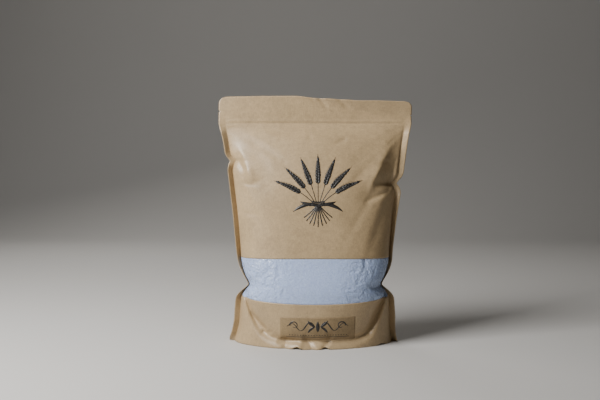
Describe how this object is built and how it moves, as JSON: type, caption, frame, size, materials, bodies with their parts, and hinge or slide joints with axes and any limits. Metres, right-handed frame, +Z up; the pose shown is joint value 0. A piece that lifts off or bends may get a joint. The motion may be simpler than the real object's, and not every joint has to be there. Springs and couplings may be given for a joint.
{
  "type": "bag of flour",
  "caption": "Shut stand-up kraft paper pouch of flour with a flat sealed header, a clear window band across the front and a plain rectangular front label.",
  "frame": {"origin": "on the ground under the middle of the pouch's bounding box", "axes": "+Z up, +Y to the back, +X to the right of someone who faces the front"},
  "size_m": [0.235, 0.1071, 0.301],
  "materials": {
    "kraft_paper": "matte, under a thin clear laminate",
    "clear_film": "milky clear film, crinkled",
    "flour": "fine white powder",
    "label_paper": "uncoated kraft sticker"
  },
  "bodies": {
    "root": {"pouch": "kraft_paper", "window_film": "clear_film", "flour": "flour", "front_label": "label_paper"}
  },
  "joints": []
}
